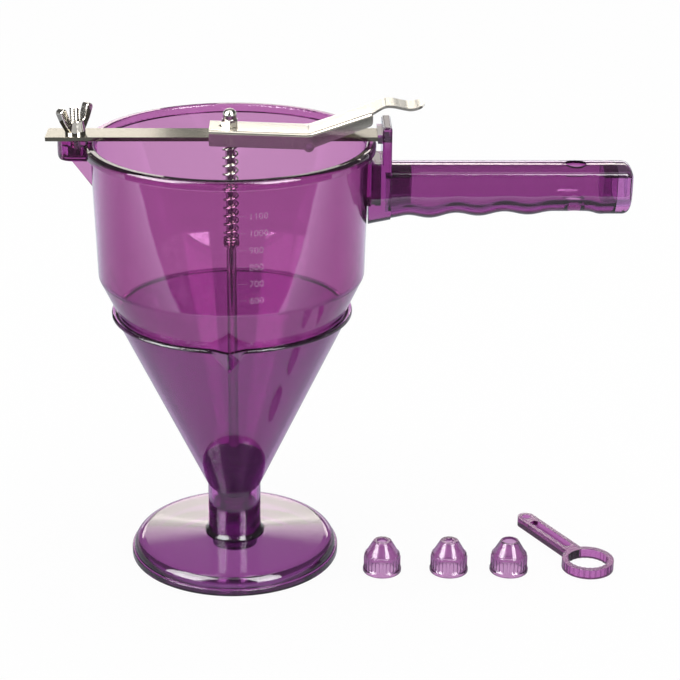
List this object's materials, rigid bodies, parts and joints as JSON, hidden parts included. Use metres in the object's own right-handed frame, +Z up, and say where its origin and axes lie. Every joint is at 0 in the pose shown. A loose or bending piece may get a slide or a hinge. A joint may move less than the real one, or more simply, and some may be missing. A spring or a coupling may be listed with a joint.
{
  "type": "batter dispenser",
  "caption": "Clear purple batter dispenser: cone hopper with thumb-lever pull-rod valve and side grip, on a drip stand, with loose screw-on nozzles and their key.",
  "frame": {"origin": "on the floor, at the axis of the stand's foot disc, which is also the axis of cup, hopper and rod", "axes": "+Z up along the rod, +X from the axis towards the handle, +Y to the side away from the pouring lip"},
  "size_m": [0.2808, 0.1402, 0.2375],
  "materials": {
    "clear_purple": "clear tinted, polished",
    "nozzle_purple": "clear tinted, polished",
    "pressed_steel": "polished sheet",
    "turned_steel": "bright turned",
    "spring_steel": "drawn wire",
    "black_rubber": "satin",
    "brass": "turned"
  },
  "bodies": {
    "stand": {"stand_base": "clear_purple", "stand_cup": "clear_purple"},
    "dispenser": {"hopper": "clear_purple", "handle_head": "clear_purple", "handle_grip": "clear_purple", "handle_end_cap": "clear_purple", "crossbar": "pressed_steel", "clamp_stud": "turned_steel", "pivot_pin": "turned_steel", "return_spring": "spring_steel", "spring_washer": "turned_steel"},
    "lever": {"lever": "pressed_steel"},
    "valve": {"rod": "turned_steel", "cap_nut": "turned_steel", "spring_clip": "spring_steel", "stopper": "black_rubber", "stopper_insert": "brass"},
    "wing_nut": {"wing_nut": "turned_steel"},
    "nozzle_round": {"nozzle_round": "nozzle_purple"},
    "nozzle_star": {"nozzle_star": "nozzle_purple"},
    "nozzle_wide": {"nozzle_wide": "nozzle_purple"},
    "nozzle_key": {"nozzle_key": "nozzle_purple"}
  },
  "joints": [
    {"name": "dispenser_lift", "type": "slide", "parent": "stand", "child": "dispenser", "axis": [0, 0, 1], "range_m": [0, 0.2]},
    {"name": "lever_press", "type": "hinge", "parent": "dispenser", "child": "lever", "pos_m": [0.0377, 0, 0.2179], "axis": [0, 1, 0], "range_deg": [0, 10], "stiffness_Nm_per_rad": 0.56, "springref_deg": -26.53},
    {"name": "valve_lift", "type": "slide", "parent": "dispenser", "child": "valve", "axis": [0, 0, 1], "range_m": [0, 0.0077], "deforming": ["return_spring"]},
    {"name": "wing_nut_turn", "type": "hinge", "parent": "dispenser", "child": "wing_nut", "pos_m": [-0.07394, 0, 0.222], "axis": [0, 0, 1], "continuous": true},
    {"name": "nozzle_round_lift", "type": "slide", "parent": "stand", "child": "nozzle_round", "axis": [0, 0, 1], "range_m": [0, 0.06]},
    {"name": "nozzle_star_lift", "type": "slide", "parent": "stand", "child": "nozzle_star", "axis": [0, 0, 1], "range_m": [0, 0.06]},
    {"name": "nozzle_wide_lift", "type": "slide", "parent": "stand", "child": "nozzle_wide", "axis": [0, 0, 1], "range_m": [0, 0.06]},
    {"name": "nozzle_key_lift", "type": "slide", "parent": "stand", "child": "nozzle_key", "axis": [0, 0, 1], "range_m": [0, 0.06]}
  ],
  "couplings": [
    {"joint": "valve_lift", "follows": "lever_press", "m_per_rad": 0.0432}
  ]
}
